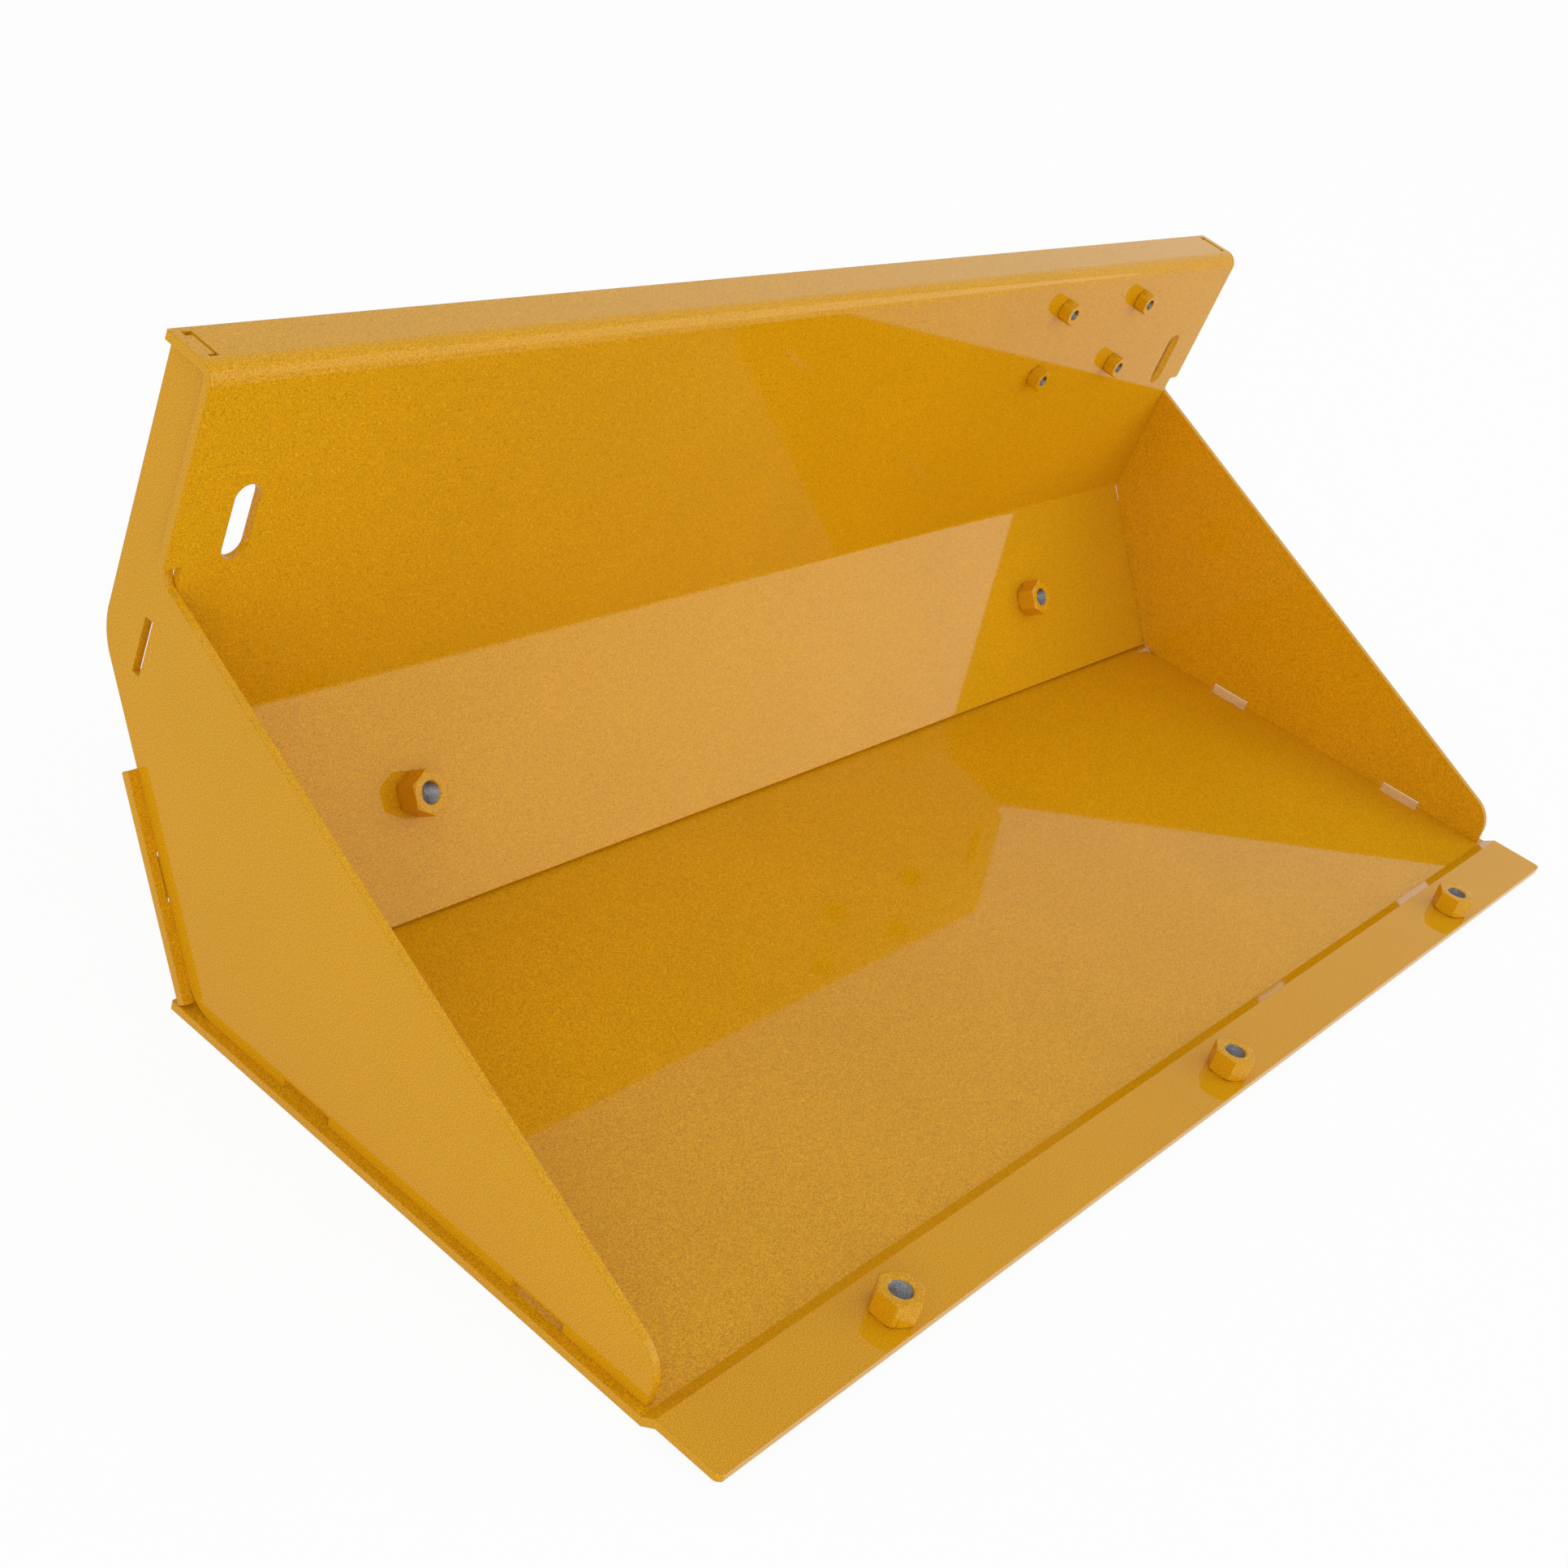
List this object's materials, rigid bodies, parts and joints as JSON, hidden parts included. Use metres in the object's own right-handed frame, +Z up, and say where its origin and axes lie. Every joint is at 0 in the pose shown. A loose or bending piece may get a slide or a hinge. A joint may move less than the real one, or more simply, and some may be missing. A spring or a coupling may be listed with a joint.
{
  "type": "loader bucket",
  "caption": "Open sheet-metal loader bucket with a folded back, low tapered side plates, tab-and-slot joints and a raised lip with nuts for a bolt-on blade.",
  "frame": {"origin": "under the middle of the bucket, on the plane of the floor sheet's underside", "axes": "+X to the right as seen from the open front, +Y to the rear, +Z up with the floor sheet lying flat"},
  "size_m": [0.512, 0.244, 0.1699],
  "materials": {
    "sheet_coat": "gloss",
    "nut_coat": "gloss",
    "bare_thread": "satin"
  },
  "bodies": {
    "root": {"back_panel": "sheet_coat", "floor_panel": "sheet_coat", "side_plate_left": "sheet_coat", "side_plate_right": "sheet_coat", "lip_nut_left": "nut_coat", "lip_nut_middle": "nut_coat", "lip_nut_right": "nut_coat", "back_nut_left": "nut_coat", "back_nut_right": "nut_coat", "fitting_nut_top_inner": "nut_coat", "fitting_nut_top_outer": "nut_coat", "fitting_nut_low_inner": "nut_coat", "fitting_nut_low_outer": "nut_coat"}
  },
  "joints": []
}
